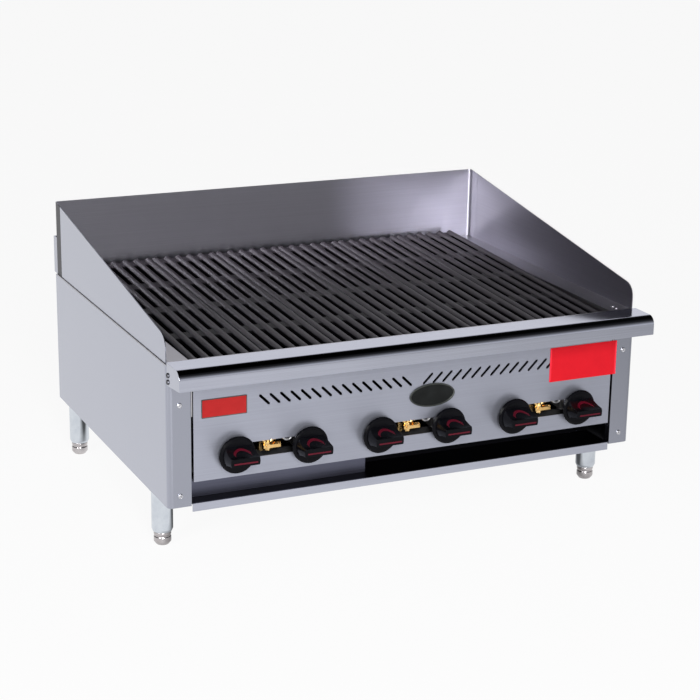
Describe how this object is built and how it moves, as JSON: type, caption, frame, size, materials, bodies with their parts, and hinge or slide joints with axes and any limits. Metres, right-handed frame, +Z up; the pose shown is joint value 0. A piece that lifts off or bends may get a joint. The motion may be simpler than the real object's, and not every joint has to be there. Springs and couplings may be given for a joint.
{
  "type": "charbroiler grill",
  "caption": "Countertop gas charbroiler: folded stainless body on short legs, tilted slotted cast-iron grates inside a splash guard, front rail, knobs, pilot windows and pull-out drip trays.",
  "frame": {"origin": "floor level at the centre of the footprint, front rail to rear channel", "axes": "+X to the right of someone facing the controls, +Y to the back, +Z up"},
  "size_m": [0.914, 0.7394, 0.5046],
  "materials": {
    "stainless": "brushed, satin",
    "splash": "brushed, brighter",
    "liner": "mill finish",
    "grate": "seasoned, dark",
    "radiant": "heat darkened",
    "burner": "as cast",
    "pipe": "black pipe",
    "valve": "die cast",
    "brass": "machined",
    "knob": "gloss black",
    "tray": "mill finish",
    "leg": "plated",
    "foot": "turned"
  },
  "bodies": {
    "chassis": {"side_panel_left": "stainless", "side_panel_right": "stainless", "back_panel": "stainless", "bottom_pan": "stainless", "rear_channel": "stainless", "front_rail": "stainless", "control_panel": "stainless", "splash_back": "splash", "splash_left": "splash", "splash_right": "splash", "liner_left": "liner", "liner_right": "liner", "liner_front": "liner", "liner_rear": "liner", "burner_rest": "liner", "radiant_1": "radiant", "radiant_2": "radiant", "radiant_3": "radiant", "radiant_4": "radiant", "radiant_5": "radiant", "radiant_6": "radiant", "burner_1": "burner", "burner_2": "burner", "burner_3": "burner", "burner_4": "burner", "burner_5": "burner", "burner_6": "burner", "manifold_pipe": "pipe", "gas_inlet": "pipe", "valve_1": "valve", "valve_2": "valve", "valve_3": "valve", "valve_4": "valve", "valve_5": "valve", "valve_6": "valve", "pilot_valve_1": "brass", "pilot_valve_2": "brass", "pilot_valve_3": "brass", "leg_front_left": "leg", "leg_front_right": "leg", "leg_rear_left": "leg", "leg_rear_right": "leg"},
    "knob_1": {"knob_1": "knob"},
    "knob_2": {"knob_2": "knob"},
    "knob_3": {"knob_3": "knob"},
    "knob_4": {"knob_4": "knob"},
    "knob_5": {"knob_5": "knob"},
    "knob_6": {"knob_6": "knob"},
    "grate_1": {"grate_1": "grate"},
    "grate_2": {"grate_2": "grate"},
    "grate_3": {"grate_3": "grate"},
    "grate_4": {"grate_4": "grate"},
    "grate_5": {"grate_5": "grate"},
    "grate_6": {"grate_6": "grate"},
    "drip_tray_left": {"drip_tray_left": "tray"},
    "drip_tray_right": {"drip_tray_right": "tray"},
    "foot_front_left": {"foot_front_left": "foot"},
    "foot_front_right": {"foot_front_right": "foot"},
    "foot_rear_left": {"foot_rear_left": "foot"},
    "foot_rear_right": {"foot_rear_right": "foot"}
  },
  "joints": [
    {"name": "knob_1_turn", "type": "hinge", "parent": "chassis", "child": "knob_1", "pos_m": [-0.3365, -0.30665, 0.192], "axis": [0, -1, 0], "range_deg": [0, 90]},
    {"name": "knob_2_turn", "type": "hinge", "parent": "chassis", "child": "knob_2", "pos_m": [-0.2019, -0.30665, 0.192], "axis": [0, -1, 0], "range_deg": [0, 90]},
    {"name": "knob_3_turn", "type": "hinge", "parent": "chassis", "child": "knob_3", "pos_m": [-0.0673, -0.30665, 0.192], "axis": [0, -1, 0], "range_deg": [0, 90]},
    {"name": "knob_4_turn", "type": "hinge", "parent": "chassis", "child": "knob_4", "pos_m": [0.0673, -0.30665, 0.192], "axis": [0, -1, 0], "range_deg": [0, 90]},
    {"name": "knob_5_turn", "type": "hinge", "parent": "chassis", "child": "knob_5", "pos_m": [0.2019, -0.30665, 0.192], "axis": [0, -1, 0], "range_deg": [0, 90]},
    {"name": "knob_6_turn", "type": "hinge", "parent": "chassis", "child": "knob_6", "pos_m": [0.3365, -0.30665, 0.192], "axis": [0, -1, 0], "range_deg": [0, 90]},
    {"name": "grate_1_lift", "type": "slide", "parent": "chassis", "child": "grate_1", "axis": [0, 0, 1], "range_m": [0, 0.12]},
    {"name": "grate_2_lift", "type": "slide", "parent": "chassis", "child": "grate_2", "axis": [0, 0, 1], "range_m": [0, 0.12]},
    {"name": "grate_3_lift", "type": "slide", "parent": "chassis", "child": "grate_3", "axis": [0, 0, 1], "range_m": [0, 0.12]},
    {"name": "grate_4_lift", "type": "slide", "parent": "chassis", "child": "grate_4", "axis": [0, 0, 1], "range_m": [0, 0.12]},
    {"name": "grate_5_lift", "type": "slide", "parent": "chassis", "child": "grate_5", "axis": [0, 0, 1], "range_m": [0, 0.12]},
    {"name": "grate_6_lift", "type": "slide", "parent": "chassis", "child": "grate_6", "axis": [0, 0, 1], "range_m": [0, 0.12]},
    {"name": "drip_tray_left_pull", "type": "slide", "parent": "chassis", "child": "drip_tray_left", "axis": [0, -1, 0], "range_m": [0, 0.4]},
    {"name": "drip_tray_right_pull", "type": "slide", "parent": "chassis", "child": "drip_tray_right", "axis": [0, -1, 0], "range_m": [0, 0.4]},
    {"name": "foot_front_left_level", "type": "slide", "parent": "chassis", "child": "foot_front_left", "axis": [0, 0, -1], "range_m": [0, 0.025]},
    {"name": "foot_front_right_level", "type": "slide", "parent": "chassis", "child": "foot_front_right", "axis": [0, 0, -1], "range_m": [0, 0.025]},
    {"name": "foot_rear_left_level", "type": "slide", "parent": "chassis", "child": "foot_rear_left", "axis": [0, 0, -1], "range_m": [0, 0.025]},
    {"name": "foot_rear_right_level", "type": "slide", "parent": "chassis", "child": "foot_rear_right", "axis": [0, 0, -1], "range_m": [0, 0.025]}
  ]
}
